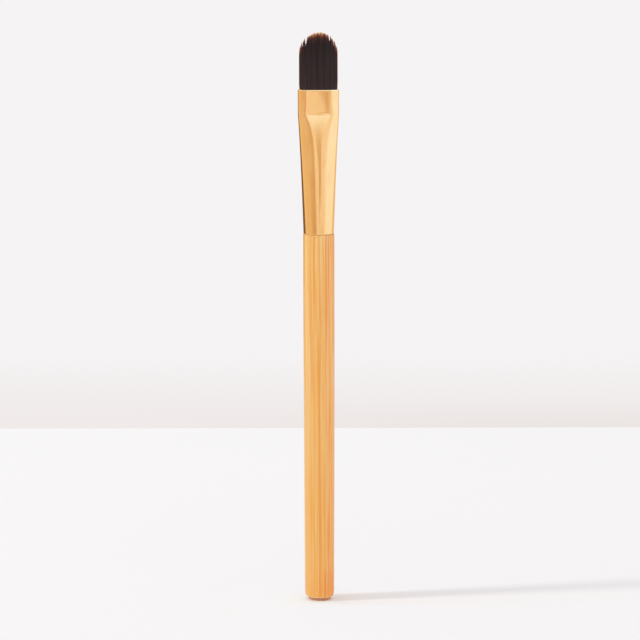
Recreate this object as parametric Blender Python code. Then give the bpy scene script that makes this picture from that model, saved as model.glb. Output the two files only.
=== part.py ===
"""A concealer brush that stands on its foot.

It is a turned bamboo handle, a metal ferrule drawn as a round tube and pressed flat at its mouth, and a
flat tuft of synthetic hair with a domed tip. Set epoxy under the roots holds the hair, and a film of glue
holds the handle's tenon.

Metres, +Z up. The origin is the middle of the flat foot, X is the brush's width and Y its thickness.
"""

import math
import random

import bmesh
import bpy
from mathutils import Vector

# Handle, a turned bamboo rod
HANDLE_SHOWN_LENGTH = 0.10055
HANDLE_FOOT_DIAMETER = 0.00796
SHOULDER_STEP = 0.00012
SHOULDER_ROUNDING = 0.00025
FOOT_FLAT_DIAMETER = 0.0056
FOOT_RIM_HEIGHT = 0.0012
FOOT_RIM_DRAW_IN = 0.00018
FOOT_SOFTENING = 0.0016
FOOT_UNDERCUT_BULGE = 0.00015
TENON_LENGTH = 0.012
TENON_CHAMFER = 0.0005

# Ferrule, a round tube pressed flat towards its mouth
FERRULE_LENGTH = 0.0386
FERRULE_DIAMETER = 0.0082
FERRULE_WALL = 0.00035
FERRULE_FOOT_LIP = 0.0004
FERRULE_FOOT_DRAW_IN = 0.0001
PRESSED_THICKNESS = 0.0036
PRESSED_LENGTH = 0.0061
# The tube widens at an even rate and gains this share of its spread late, near the jaws
LATE_SPREAD = 0.23
FLAT_ONSET_POWER = 7

# Panel that the jaws press into each broad face
PANEL_WIDTH = 0.0062
PANEL_DEPTH = 0.00025
PANEL_SLOPE = 0.0003
PANEL_LIP = 0.0006

# Hair tuft
TUFT_FREE_LENGTH = 0.01555
TUFT_WIDTH = 0.0104
TUFT_DOME_HEIGHT = 0.0072
TUFT_TIP_THICKNESS = 0.0012
TUFT_OUTER_HAIRS_SHORTER = 0.0009
TUFT_UNEVENNESS = 0.0005
TUFT_BOUND_LENGTH = 0.009
TUFT_ROOT_DEPTH = 0.0003
# The bundle stops a little short of the bore's narrow ends, where it would be thinner than a strand
BUNDLE_WIDTH_SHARE = 0.985
STRAND_COLUMNS = 34
STRAND_ROWS = 6
STRAND_STAGGER = 0.25
STRAND_FULLNESS = 0.88
STRAND_POINT_LENGTH = 0.0012
STRAND_SEED = 7

# Glue joints
ROOT_PLUG_LENGTH = 0.004
TENON_GLUE_FILM = 0.00025
TENON_GLUE_SHORTER = 0.001

# Clearances: round a glued or bound piece, and between end faces that meet
GLUED_GAP = 0.0001
SEAT_GAP = 0.0003

# Facets
TURNED_STEPS = 48
FLAT_STATIONS = 5
END_STATIONS = 7
ARC_STEPS = 40
TAPER_STEPS = 9
TAPER_CROWDING_POWER = 1.5
HANDLE_STEPS = 8
ROUNDING_STEPS = 3
SOLVER_STEPS = 50
SHARP_ANGLE = math.radians(35)

# The handle's shoulder stands a little proud of the ferrule
HANDLE_TOP_DIAMETER = FERRULE_DIAMETER + 2 * SHOULDER_STEP
FERRULE_FOOT = HANDLE_SHOWN_LENGTH + SEAT_GAP
QUARTER_GIRTH = math.pi * FERRULE_DIAMETER / 4
HALF_PANEL = PANEL_WIDTH / 2
BORE_INSET = FERRULE_WALL + GLUED_GAP
ROOT_HEIGHT = FERRULE_LENGTH - TUFT_ROOT_DEPTH
TUFT_TOP_HEIGHT = FERRULE_LENGTH + TUFT_FREE_LENGTH

# Colours are linear
BAMBOO_COLOUR = (0.855, 0.448, 0.155)
GOLD_COLOUR = (0.93, 0.60, 0.26)
HAIR_COLOUR = (0.037, 0.024, 0.022)
EPOXY_COLOUR = (0.55, 0.38, 0.16)
GLUE_COLOUR = (0.78, 0.72, 0.58)


def clear_scene():
    """Leaves the scene without objects."""
    for old in list(bpy.data.objects):
        bpy.data.objects.remove(old)


def finish_material(name, colour, roughness, metallic=0.0):
    """A Principled material of one finish."""
    material = bpy.data.materials.new(name)
    material.use_nodes = True
    shader = material.node_tree.nodes["Principled BSDF"]
    shader.inputs["Base Color"].default_value = (*colour, 1.0)
    shader.inputs["Roughness"].default_value = roughness
    shader.inputs["Metallic"].default_value = metallic
    material.diffuse_color = (*colour, 1.0)
    return material


def add_object(name, bm, material):
    """Puts the mesh in the scene as a named object, shaded smooth up to its sharp edges."""
    bmesh.ops.recalc_face_normals(bm, faces=bm.faces)
    mesh = bpy.data.meshes.new(name)
    bm.to_mesh(mesh)
    bm.free()
    mesh.materials.append(material)
    mesh.shade_smooth()
    mesh.set_sharp_from_angle(angle=SHARP_ANGLE)
    made = bpy.data.objects.new(name, mesh)
    bpy.context.scene.collection.objects.link(made)
    return made


def solve(rises, target, low, high):
    """The value between low and high at which a rising function reaches the target."""
    for _ in range(SOLVER_STEPS):
        middle = (low + high) / 2
        if rises(middle) < target:
            low = middle
        else:
            high = middle
    return (low + high) / 2


# The ferrule's section. A flattened tube keeps its girth: what it loses in thickness it gains in width.
def quarter_outline(half_width, half_flat, half_thickness):
    """A quarter of the section, from the middle of a broad face round to the middle of a narrow side."""
    points = [Vector((0.0, half_thickness)), Vector((half_flat, half_thickness))]
    for step in range(1, ARC_STEPS + 1):
        turn = math.pi / 2 * step / ARC_STEPS
        x = half_flat + (half_width - half_flat) * math.sin(turn)
        points.append(Vector((x, half_thickness * math.cos(turn))))
    return points


def length_of(points):
    """The length along a run of points."""
    return sum((after - before).length for before, after in zip(points, points[1:]))


def point_along(points, distance):
    """The point at this distance along a run of points."""
    for before, after in zip(points, points[1:]):
        step = (after - before).length
        if distance <= step and step > 0:
            return before.lerp(after, distance / step)
        distance -= step
    return points[-1].copy()


PRESSED_HALF_WIDTH = solve(
    lambda half_width: length_of(quarter_outline(half_width, HALF_PANEL, PRESSED_THICKNESS / 2)),
    QUARTER_GIRTH,
    HALF_PANEL,
    QUARTER_GIRTH,
)


def ferrule_section(height):
    """Half width, half width of the flat and half thickness of the outside, this high over the foot."""
    pressed = min(height / (FERRULE_LENGTH - PRESSED_LENGTH), 1.0)
    spread = (1 - LATE_SPREAD) * pressed + LATE_SPREAD * pressed**3
    half_width = FERRULE_DIAMETER / 2 + (PRESSED_HALF_WIDTH - FERRULE_DIAMETER / 2) * spread
    half_flat = HALF_PANEL * pressed**FLAT_ONSET_POWER
    half_thickness = solve(
        lambda tried: length_of(quarter_outline(half_width, half_flat, tried)),
        QUARTER_GIRTH,
        0.0,
        FERRULE_DIAMETER,
    )
    return half_width, half_flat, half_thickness


def panel_share(height):
    """How deep the panel is at this height, as a share of its depth."""
    below_mouth = FERRULE_LENGTH - height
    above_foot_edge = (PRESSED_LENGTH + PANEL_SLOPE - below_mouth) / PANEL_SLOPE
    below_lip = (below_mouth - PANEL_LIP) / PANEL_SLOPE
    return max(0.0, min(1.0, above_foot_edge, below_lip))


def panel_sink(height, distance):
    """How far the panel sinks the broad face, this far along the girth from the face's middle."""
    inside_edge = (HALF_PANEL - distance) / PANEL_SLOPE
    return PANEL_DEPTH * panel_share(height) * max(0.0, min(1.0, inside_edge))


def ring(height, inset, draw_in=0.0):
    """Points round the ferrule's section, drawn in by an inset from its outside, clockwise from above.

    A point keeps its distance along the girth from ring to ring, as the metal of a pressed tube does.
    """
    half_width, half_flat, half_thickness = ferrule_section(height)
    inset += draw_in
    outline = quarter_outline(half_width - inset, half_flat, half_thickness - inset)
    free_end = length_of(outline) - HALF_PANEL
    panel_floor = HALF_PANEL - PANEL_SLOPE
    distances = [panel_floor * station / (FLAT_STATIONS - 1) for station in range(FLAT_STATIONS)]
    distances += [HALF_PANEL + free_end * station / END_STATIONS for station in range(END_STATIONS + 1)]
    quarter = []
    for distance in distances:
        x, y = point_along(outline, distance)
        quarter.append((x, y - panel_sink(height, distance)))
    half = quarter + [(x, -y) for x, y in reversed(quarter[:-1])]
    whole = half + [(-x, y) for x, y in reversed(half[1:-1])]
    return [Vector((x, y, FERRULE_FOOT + height)) for x, y in whole]


def add_rings(bm, rings):
    """Adds rings of vertices and the quads between each ring and the next."""
    loops = [[bm.verts.new(point) for point in points] for points in rings]
    for lower, upper in zip(loops, loops[1:]):
        for index in range(len(lower)):
            after = (index + 1) % len(lower)
            bm.faces.new((lower[index], lower[after], upper[after], upper[index]))
    return loops


def close_tube(bm, loops):
    """Joins the last ring to the first, so that the rings are a wall with an outside and an inside."""
    for index in range(len(loops[0])):
        after = (index + 1) % len(loops[0])
        bm.faces.new((loops[-1][index], loops[-1][after], loops[0][after], loops[0][index]))


# Handle
def tenon_radius(height):
    """The tenon's radius inside the ferrule: it tapers, because the pressed tube gets thinner."""
    clearance = FERRULE_WALL + GLUED_GAP + TENON_GLUE_FILM + GLUED_GAP
    base = FERRULE_DIAMETER / 2 - clearance
    end = ferrule_section(TENON_LENGTH)[2] - clearance
    return base + (end - base) * height / TENON_LENGTH


def handle_radius(height):
    """The shaft's radius over the foot: the taper is slight under the ferrule and grows downwards."""
    below_top = 1 - height / HANDLE_SHOWN_LENGTH
    return (HANDLE_TOP_DIAMETER - (HANDLE_TOP_DIAMETER - HANDLE_FOOT_DIAMETER) * below_top**2) / 2


def handle_profile():
    """The turned outline, from the tenon's end down the outer side to the foot, as (radius, height)."""
    tenon_top = HANDLE_SHOWN_LENGTH + TENON_LENGTH
    end_radius = tenon_radius(TENON_LENGTH)
    profile = [(0.0, tenon_top), (end_radius - TENON_CHAMFER, tenon_top)]
    profile.append((end_radius, tenon_top - TENON_CHAMFER))
    profile.append((tenon_radius(0.0), HANDLE_SHOWN_LENGTH))

    top_radius = handle_radius(HANDLE_SHOWN_LENGTH)
    for step in range(ROUNDING_STEPS + 1):
        turn = math.pi / 2 * step / ROUNDING_STEPS
        radius = top_radius - SHOULDER_ROUNDING * (1 - math.sin(turn))
        height = HANDLE_SHOWN_LENGTH - SHOULDER_ROUNDING * (1 - math.cos(turn))
        profile.append((radius, height))

    soft_top = FOOT_RIM_HEIGHT + FOOT_SOFTENING
    shaft = HANDLE_SHOWN_LENGTH - SHOULDER_ROUNDING - soft_top
    for step in range(1, HANDLE_STEPS + 1):
        height = soft_top + shaft * (1 - step / HANDLE_STEPS)
        profile.append((handle_radius(height), height))

    for step in range(1, ROUNDING_STEPS + 1):
        share = step / ROUNDING_STEPS
        height = soft_top - FOOT_SOFTENING * share
        profile.append((handle_radius(height) - FOOT_RIM_DRAW_IN * share**2, height))

    rim = Vector(profile[-1])
    flat_edge = Vector((FOOT_FLAT_DIAMETER / 2, 0.0))
    outward = Vector((rim.y, FOOT_FLAT_DIAMETER / 2 - rim.x)).normalized()
    for step in range(1, ROUNDING_STEPS):
        share = step / ROUNDING_STEPS
        bulge = FOOT_UNDERCUT_BULGE * math.sin(math.pi * share)
        profile.append(tuple(rim.lerp(flat_edge, share) + outward * bulge))
    profile.append(tuple(flat_edge))
    profile.append((0.0, 0.0))
    return profile


def build_handle():
    """The rod with its tenon, turned round the Z axis."""
    mesh = bpy.data.meshes.new("handle")
    points = [(radius, 0.0, height) for radius, height in handle_profile()]
    edges = [(index, index + 1) for index in range(len(points) - 1)]
    mesh.from_pydata(points, edges, [])
    mesh.materials.append(finish_material("bamboo", BAMBOO_COLOUR, 0.38))
    handle = bpy.data.objects.new("handle", mesh)
    bpy.context.scene.collection.objects.link(handle)
    turn = handle.modifiers.new("turned", "SCREW")
    turn.axis = "Z"
    turn.angle = math.tau
    turn.steps = TURNED_STEPS
    turn.render_steps = TURNED_STEPS
    turn.use_merge_vertices = True
    turn.merge_threshold = 0.00001
    turn.use_smooth_shade = True
    return handle


# Ferrule
def ferrule_heights():
    """The heights over the foot at which the ferrule's section is drawn, closer where it changes more."""
    jaw_line = FERRULE_LENGTH - PRESSED_LENGTH
    panel_foot = jaw_line - PANEL_SLOPE
    panel_top = FERRULE_LENGTH - PANEL_LIP
    heights = [0.0, FERRULE_FOOT_LIP]
    for step in range(1, TAPER_STEPS + 1):
        share = 1 - (1 - step / TAPER_STEPS) ** TAPER_CROWDING_POWER
        heights.append(FERRULE_FOOT_LIP + (panel_foot - FERRULE_FOOT_LIP) * share)
    return heights + [jaw_line, panel_top - PANEL_SLOPE, panel_top, FERRULE_LENGTH]


def build_ferrule():
    """The tube's outside from foot to mouth, and its bore from mouth to foot."""
    heights = ferrule_heights()
    outside = [ring(height, 0.0, FERRULE_FOOT_DRAW_IN if height == 0.0 else 0.0) for height in heights]
    bore = [ring(height, FERRULE_WALL) for height in reversed(heights)]
    bm = bmesh.new()
    loops = add_rings(bm, outside + bore)
    close_tube(bm, loops)
    return add_object("ferrule", bm, finish_material("gold", GOLD_COLOUR, 0.16, 1.0))


# Hair tuft: a slice of the bound bundle, with the free strands standing on it
def bundle_half_width(height):
    """How wide the bound bundle is to each side, this high over the ferrule's foot."""
    return (ferrule_section(height)[0] - BORE_INSET) * BUNDLE_WIDTH_SHARE


def bundle_half_thickness(height, x):
    """How thick the bound bundle is to each side of its middle plane."""
    half_width, half_flat, half_thickness = ferrule_section(height)
    past_flat = max(0.0, abs(x) - half_flat) / (half_width - BORE_INSET - half_flat)
    bore = (half_thickness - BORE_INSET) * math.sqrt(max(0.0, 1 - past_flat**2))
    return bore - panel_sink(height, abs(x))


def bundle_point(height, across, through):
    """A point of the bundle from its shares across the width and through the thickness, -1 to 1."""
    x = across * bundle_half_width(height)
    return Vector((x, through * bundle_half_thickness(height, x), FERRULE_FOOT + height))


def staggered(across, through):
    """A grid corner's shares. Rows inside the bundle are shifted in turn, so that no gap runs straight."""
    row = round((through + 1) / 2 * STRAND_ROWS)
    if abs(across) < 1 and 0 < row < STRAND_ROWS:
        cell = 2 / STRAND_COLUMNS
        across += STRAND_STAGGER * (cell if row % 2 else -cell)
    return across, through


def strand_point(root, height):
    """Where the strand that grows from this point is at this height: the strands fan out and thin evenly.

    The grid only scales with height, so no strand crosses another.
    """
    dome_start = TUFT_TOP_HEIGHT - TUFT_DOME_HEIGHT
    widened = TUFT_WIDTH / 2 / bundle_half_width(ROOT_HEIGHT) - 1
    thinned = TUFT_TIP_THICKNESS / 2 / bundle_half_thickness(ROOT_HEIGHT, 0.0) - 1
    wide = 1 + widened * (height - ROOT_HEIGHT) / (dome_start - ROOT_HEIGHT)
    thin = 1 + thinned * (height - ROOT_HEIGHT) / (TUFT_TOP_HEIGHT - ROOT_HEIGHT)
    return Vector((root.x * wide, root.y * thin, FERRULE_FOOT + height))


def strand_height(root):
    """How high the strand that grows from this point reaches under the dome."""
    across = root.x / bundle_half_width(ROOT_HEIGHT)
    through = root.y / bundle_half_thickness(ROOT_HEIGHT, root.x)
    dome = TUFT_DOME_HEIGHT * (1 - math.sqrt(1 - across**2))
    return TUFT_TOP_HEIGHT - dome - TUFT_OUTER_HAIRS_SHORTER * through**2


def add_bundle_slice(bm, shares):
    """Extrudes the grid's rim down the bore and closes it: the bound hair that the strands are fused to."""
    rim = [edge for edge in bm.edges if edge.is_boundary]
    slice_foot = ROOT_HEIGHT - TUFT_BOUND_LENGTH
    bends = [height for height in ferrule_heights() if slice_foot < height < ROOT_HEIGHT]
    for height in [*reversed(bends), slice_foot]:
        above = {vert.co.to_tuple(): share for vert, share in shares.items()}
        lowered = bmesh.ops.extrude_edge_only(bm, edges=rim)["geom"]
        verts = [item for item in lowered if isinstance(item, bmesh.types.BMVert)]
        rim = [item for item in lowered if isinstance(item, bmesh.types.BMEdge)]
        shares = {vert: above[vert.co.to_tuple()] for vert in verts}
        for vert, (across, through) in shares.items():
            vert.co = bundle_point(height, across, through)
    bmesh.ops.holes_fill(bm, edges=rim)


def build_tuft():
    """Three-sided strands over a grid, each a straight shaft with a short point."""
    bm = bmesh.new()
    bmesh.ops.create_grid(bm, x_segments=STRAND_COLUMNS, y_segments=STRAND_ROWS, size=1.0)
    shares = {vert: staggered(vert.co.x, vert.co.y) for vert in bm.verts}
    for vert, (across, through) in shares.items():
        vert.co = bundle_point(ROOT_HEIGHT, across, through)
    cells = bmesh.ops.triangulate(bm, faces=bm.faces)["faces"]
    add_bundle_slice(bm, shares)

    roots = bmesh.ops.extrude_discrete_faces(bm, faces=cells)["faces"]
    for face in roots:
        middle = face.calc_center_median()
        for corner in face.verts:
            corner.co = middle.lerp(corner.co, STRAND_FULLNESS)

    uneven = random.Random(STRAND_SEED)
    shafts = bmesh.ops.extrude_discrete_faces(bm, faces=roots)["faces"]
    for face in shafts:
        shorter = STRAND_POINT_LENGTH + TUFT_UNEVENNESS * uneven.random()
        height = strand_height(face.calc_center_median()) - shorter
        for corner in face.verts:
            corner.co = strand_point(corner.co, height)
    for tip in bmesh.ops.poke(bm, faces=shafts)["verts"]:
        tip.co.z += STRAND_POINT_LENGTH
    return add_object("bristle_tuft", bm, finish_material("dark_hair", HAIR_COLOUR, 0.45))


# Glue joints
def build_root_plug():
    """Set epoxy that fills the bore under the roots."""
    top = ROOT_HEIGHT - TUFT_BOUND_LENGTH - SEAT_GAP
    bm = bmesh.new()
    loops = add_rings(bm, [ring(height, BORE_INSET) for height in (top - ROOT_PLUG_LENGTH, top)])
    bm.faces.new(loops[0])
    bm.faces.new(loops[-1])
    return add_object("root_plug", bm, finish_material("epoxy", EPOXY_COLOUR, 0.3))


def build_tenon_glue():
    """The film between the bore and the round tenon, thicker where the pressed tube has widened."""
    heights = [0.0, (TENON_LENGTH - TENON_GLUE_SHORTER) / 2, TENON_LENGTH - TENON_GLUE_SHORTER]
    outside = [ring(height, BORE_INSET) for height in heights]
    inside = []
    for height, outer in zip(reversed(heights), reversed(outside)):
        radius = tenon_radius(height) + GLUED_GAP
        directions = [Vector((point.x, point.y, 0.0)).normalized() for point in outer]
        level = Vector((0.0, 0.0, FERRULE_FOOT + height))
        inside.append([level + direction * radius for direction in directions])
    bm = bmesh.new()
    loops = add_rings(bm, outside + inside)
    close_tube(bm, loops)
    return add_object("tenon_glue", bm, finish_material("glue", GLUE_COLOUR, 0.5))


def build_brush():
    """The five pieces, carried by an empty at the foot."""
    brush = bpy.data.objects.new("brush", None)
    bpy.context.scene.collection.objects.link(brush)
    for build in (build_handle, build_ferrule, build_tuft, build_root_plug, build_tenon_glue):
        build().parent = brush


clear_scene()
build_brush()
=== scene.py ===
# %% [markdown]
# # A concealer brush on a white table
#
# The brush has three parts that show: a bamboo handle that stands on its flat foot, a gold ferrule that
# starts as a round tube and is pressed flat at its mouth, and a flat tuft of dark hair with a domed tip. Two
# glue joints are hidden inside the ferrule.
#
# Every piece could be a plain cylinder with a picture wrapped round it, but the gloss of gold and lacquer
# shows each bump, and hair is nothing but its own ends. So each piece is made in mesh code at its real size,
# and each finish is a procedural material. Everything is in metres, and Z is up.

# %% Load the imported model
import math

import bmesh
import bpy
import numpy as np
from mathutils import Matrix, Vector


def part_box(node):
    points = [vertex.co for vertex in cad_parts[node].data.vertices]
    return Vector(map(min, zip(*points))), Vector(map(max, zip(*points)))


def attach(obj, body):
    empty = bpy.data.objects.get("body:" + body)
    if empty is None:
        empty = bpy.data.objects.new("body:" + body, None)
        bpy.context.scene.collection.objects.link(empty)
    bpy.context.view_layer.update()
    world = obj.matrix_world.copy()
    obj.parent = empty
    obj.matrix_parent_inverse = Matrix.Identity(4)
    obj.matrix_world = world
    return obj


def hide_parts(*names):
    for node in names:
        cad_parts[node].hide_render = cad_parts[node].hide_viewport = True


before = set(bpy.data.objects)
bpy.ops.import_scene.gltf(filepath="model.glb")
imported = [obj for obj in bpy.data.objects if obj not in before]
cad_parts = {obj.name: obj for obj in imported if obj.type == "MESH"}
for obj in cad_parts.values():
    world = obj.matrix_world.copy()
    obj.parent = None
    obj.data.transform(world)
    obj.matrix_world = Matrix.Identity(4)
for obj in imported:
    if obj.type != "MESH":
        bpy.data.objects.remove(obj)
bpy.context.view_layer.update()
scene = bpy.context.scene

# %% [markdown]
# ## Camera
#
# A product photograph of something this slim is taken from far off with a long lens, so that its sides stay
# parallel. This camera stands nearly a metre in front of the brush, a little above its tip, and looks down by
# eight degrees. Its tiny roll copies the way a hand-levelled camera leans.

# %% Camera
CAMERA_PLACE = (0.00028, -0.94, 0.21)
CAMERA_LENS_MM = 197.27
CAMERA_LOOKS_DOWN = math.radians(8.0513)
CAMERA_ROLL = math.radians(-0.136)


def add_object(name, data):
    """An object in the scene that shows this camera, lamp or mesh."""
    made = bpy.data.objects.new(name, data)
    scene.collection.objects.link(made)
    return made


camera_data = bpy.data.cameras.new("camera")
camera_data.lens = CAMERA_LENS_MM
camera = add_object("camera", camera_data)
camera.matrix_world = (
    Matrix.Translation(CAMERA_PLACE)
    @ Matrix.Rotation(math.pi / 2 - CAMERA_LOOKS_DOWN, 4, "X")
    @ Matrix.Rotation(CAMERA_ROLL, 4, "Z")
)
scene.camera = camera
print("camera at", CAMERA_PLACE, "with a", CAMERA_LENS_MM, "mm lens")

# %% [markdown]
# ## Materials are small graphs
#
# A procedural material is a graph of nodes: patterns feed ramps, and ramps feed the shader. Such a graph can
# be drawn in the shader editor, but in code it is a long list of nodes and links. One function here adds a
# node and joins its inputs, and a small class holds a material and has one short method for each kind of node
# that the finishes need. What a method gives back goes straight into the next one, so a finish reads from
# pattern to colour.


# %% Helpers for materials
def add_node(tree, kind, inputs=(), **settings):
    """Adds a node; inputs maps a socket's name or number to an output to join or a value to set."""
    node = tree.nodes.new("ShaderNode" + kind)
    for setting, value in settings.items():
        setattr(node, setting, value)
    for socket, source in dict(inputs).items():
        if isinstance(source, bpy.types.NodeSocket):
            tree.links.new(source, node.inputs[socket])
        else:
            node.inputs[socket].default_value = source
    return node


class Finish:
    """A material and its graph. Constants such as Roughness are set on the shader's own sockets."""

    def __init__(self, name, **constants):
        self.material = bpy.data.materials.new(name)
        self.material.use_nodes = True
        self.tree = self.material.node_tree
        self.shader = self.tree.nodes["Principled BSDF"]
        for socket, value in constants.items():
            self.shader.inputs[socket.replace("_", " ")].default_value = value

    def node(self, kind, inputs=(), **settings):
        """Adds a node and gives back its outputs."""
        return add_node(self.tree, kind, inputs, **settings).outputs

    def feed(self, socket, source):
        """Joins an output to a socket of the shader."""
        self.tree.links.new(source, self.shader.inputs[socket])

    def show(self, surface):
        """Makes this the shader that the surface shows."""
        self.tree.links.new(surface, self.tree.nodes["Material Output"].inputs["Surface"])

    def math(self, operation, first, second=0.0, third=0.0):
        """One step of arithmetic on outputs or plain numbers."""
        return self.node("Math", {0: first, 1: second, 2: third}, operation=operation)[0]

    def fade(self, value, start, end):
        """A share that goes from 0 at the start to 1 at the end."""
        return self.node("MapRange", {"Value": value, "From Min": start, "From Max": end})[0]

    def ramp(self, factor, stops):
        """A colour ramp with stops of (position, colour or grey level)."""
        ramp = add_node(self.tree, "ValToRGB", {"Fac": factor})
        elements = ramp.color_ramp.elements
        while len(elements) < len(stops):
            elements.new(1.0)
        for element, (position, colour) in zip(elements, stops):
            element.position = position
            element.color = (*colour, 1.0) if isinstance(colour, tuple) else (colour, colour, colour, 1.0)
        return ramp.outputs["Color"]

    def mix(self, share, first, second, blend="MIX"):
        """The first colour, and the second one over it by this share."""
        second = (*second, 1.0) if isinstance(second, tuple) else second
        return self.node("Mix", {0: share, 6: first, 7: second}, data_type="RGBA", blend_type=blend)[2]

    def times(self, first, second):
        """One colour, share or vector times another."""
        return self.node("VectorMath", {0: first, 1: second}, operation="MULTIPLY")[0]

    def places(self, z=1.0):
        """Object coordinates; with a small z, noise on them becomes streaks along Z."""
        return self.times(self.node("TexCoord")["Object"], (1.0, 1.0, z))

    def axes(self):
        """Object X, Y and Z as three outputs."""
        return self.node("SeparateXYZ", {0: self.places()})

    def degrees_from_front(self, x, y):
        """The angle round the Z axis: 0 on the camera's side, negative to the left."""
        angle = self.math("ARCTAN2", x, self.math("MULTIPLY", y, -1.0))
        return self.math("MULTIPLY", angle, 180 / math.pi)

    def noise(self, scale, detail=2.0, roughness=0.5, z=1.0):
        """Fractal noise, as one grey level."""
        inputs = {"Vector": self.places(z), "Scale": scale, "Detail": detail, "Roughness": roughness}
        return self.node("TexNoise", inputs)["Fac"]

    def bump(self, height, distance):
        """Lets a grey pattern raise the surface by this distance, in metres."""
        self.feed("Normal", self.node("Bump", {"Height": height, "Distance": distance})["Normal"])


# %% [markdown]
# ## Table
#
# The brush stands on a matt white table that is lit as the brush is, so it takes the brush's shadow. The warm
# handle bounces some of its colour onto the table round its foot. A photographer would take that out
# afterwards, and here a faint cool wash painted into the table's colour cancels that bounced light,
# everywhere but in the shadow. In the shadow's strip near the foot, painted shadow makes the white slightly
# darker and warmer.

# %% Table
TABLE_FAR_EDGE = 0.274
TABLE_REACH = 6.0
TABLE_WHITE = (0.937, 0.922, 0.934)
# A slightly darker, warmer white for the shadow's strip near the foot: painted shadow
PAINTED_SHADOW_WHITE = (0.926, 0.905, 0.905)
# Distance from the foot in metres, and the table's colour there, a painted cool wash against the handle's
# bounced light
WASH_REACH = 0.2
FOOT_WASH = (
    (0.005, (0.926, 0.975, 0.995)), (0.0084, (0.926, 0.96, 0.985)), (0.0123, (0.926, 0.945, 0.97)),
    (0.019, (0.926, 0.93, 0.95)), (0.03, (0.927, 0.917, 0.931)), (0.08, (0.928, 0.914, 0.927)),
    (WASH_REACH, TABLE_WHITE),
)
# Where the shadow's strip starts to the right of the foot, and where it ends to the front and the back
SHADOW_START = (0.002, 0.006)
SHADOW_END = (0.01, 0.006)
PAINTED_SHADOW_WASH = ((0.15, PAINTED_SHADOW_WHITE), (1.0, TABLE_WHITE))
MOTTLE = ((0.3, 0.995), (0.7, 1.0))


def stage_sheet(name, corners, paint):
    """A flat sheet of the studio, which isn't part of the brush."""
    mesh = bpy.data.meshes.new(name)
    mesh.from_pydata(corners, [], [tuple(range(len(corners)))])
    mesh.materials.append(paint.material)
    sheet = add_object(name, mesh)
    return sheet


def wide_corners(near, far):
    """Corners of a wide sheet between two (y, z) lines."""
    return [(-TABLE_REACH, *near), (TABLE_REACH, *near), (TABLE_REACH, *far), (-TABLE_REACH, *far)]


table_paint = Finish("table_paint", Roughness=0.9, Specular_IOR_Level=0.0)
from_foot = table_paint.node("VectorMath", {0: table_paint.places()}, operation="LENGTH")["Value"]
foot_share = table_paint.math("DIVIDE", from_foot, WASH_REACH)
# The painted cool wash round the foot, and the painted shadow tint in the shadow's strip
washed = table_paint.ramp(foot_share, [(distance / WASH_REACH, colour) for distance, colour in FOOT_WASH])
plain = table_paint.ramp(foot_share, PAINTED_SHADOW_WASH)
table_x, table_y, _ = table_paint.axes()
beside = table_paint.fade(table_x, *SHADOW_START)
near_row = table_paint.fade(table_paint.math("ABSOLUTE", table_y), *SHADOW_END)
table_colour = table_paint.mix(table_paint.math("MULTIPLY", beside, near_row), washed, plain)
mottle = table_paint.ramp(table_paint.noise(scale=9.0), MOTTLE)
table_paint.feed("Base Color", table_paint.times(table_colour, mottle))
stage_sheet("table", wide_corners((-TABLE_REACH, 0.0), (TABLE_FAR_EDGE, 0.0)), table_paint)
print("table reaches", TABLE_FAR_EDGE, "m behind the brush")

# %% [markdown]
# ## Wall
#
# A pale wall stands some way behind the table. Painted shade darkens it a little behind the table's far edge,
# more so on the right, which gives the white picture its only horizon. A real backdrop would need as much
# light as the table, so the wall gives camera and mirror rays its own colour, and the room's light passes
# through it as if it weren't there.

# %% Wall
WALL_PLACE = 1.6
WALL_LOW = -0.8
WALL_HIGH = 4.0
WALL_FADE = 0.055
WALL_MIDDLE_SHARE = 0.4
WALL_TURN = 0.138
WALL_WHITE = (0.913, 0.896, 0.905)
# Painted shade at the wall's foot, behind the table's far edge: half way up, and at the left and the right
WALL_MIDDLE = (0.876, 0.842, 0.835)
WALL_PAINTED_SHADE_LEFT = (0.872, 0.827, 0.82)
WALL_PAINTED_SHADE_RIGHT = (0.828, 0.78, 0.768)

# The height at which the line of sight over the table's far edge meets the wall
sight_slope = CAMERA_PLACE[2] / (TABLE_FAR_EDGE - CAMERA_PLACE[1])
wall_horizon = CAMERA_PLACE[2] - sight_slope * (WALL_PLACE - CAMERA_PLACE[1])

wall_paint = Finish("wall_paint", Roughness=1.0, Specular_IOR_Level=0.0)
wall_x, _, wall_z = wall_paint.axes()
wall_share = wall_paint.fade(wall_z, wall_horizon, wall_horizon + WALL_FADE)
# The wall's colour rises out of its painted shade, which is darker on the right
left_painted_shade, right_painted_shade = (
    wall_paint.ramp(wall_share, [(0.0, foot), (WALL_MIDDLE_SHARE, WALL_MIDDLE), (1.0, WALL_WHITE)])
    for foot in (WALL_PAINTED_SHADE_LEFT, WALL_PAINTED_SHADE_RIGHT)
)
wall_colour = wall_paint.mix(wall_paint.fade(wall_x, -WALL_TURN, WALL_TURN), left_painted_shade, right_painted_shade)
wall_paint.feed("Base Color", wall_colour)
paths = wall_paint.node("LightPath")
seen = wall_paint.math("MAXIMUM", paths["Is Camera Ray"], paths["Is Glossy Ray"])
seen = wall_paint.math("MAXIMUM", seen, paths["Is Transmission Ray"])
own_colour = wall_paint.node("Emission", {"Color": wall_colour})[0]
wall_paint.show(wall_paint.node("MixShader", {0: seen, 1: wall_paint.shader.outputs[0], 2: own_colour})[0])
wall = stage_sheet("wall", wide_corners((WALL_PLACE, WALL_LOW), (WALL_PLACE, WALL_HIGH)), wall_paint)
wall.visible_diffuse = False
wall.visible_shadow = False
print("wall at", WALL_PLACE, "m; it darkens at a height of", round(wall_horizon, 3), "m")

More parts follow.
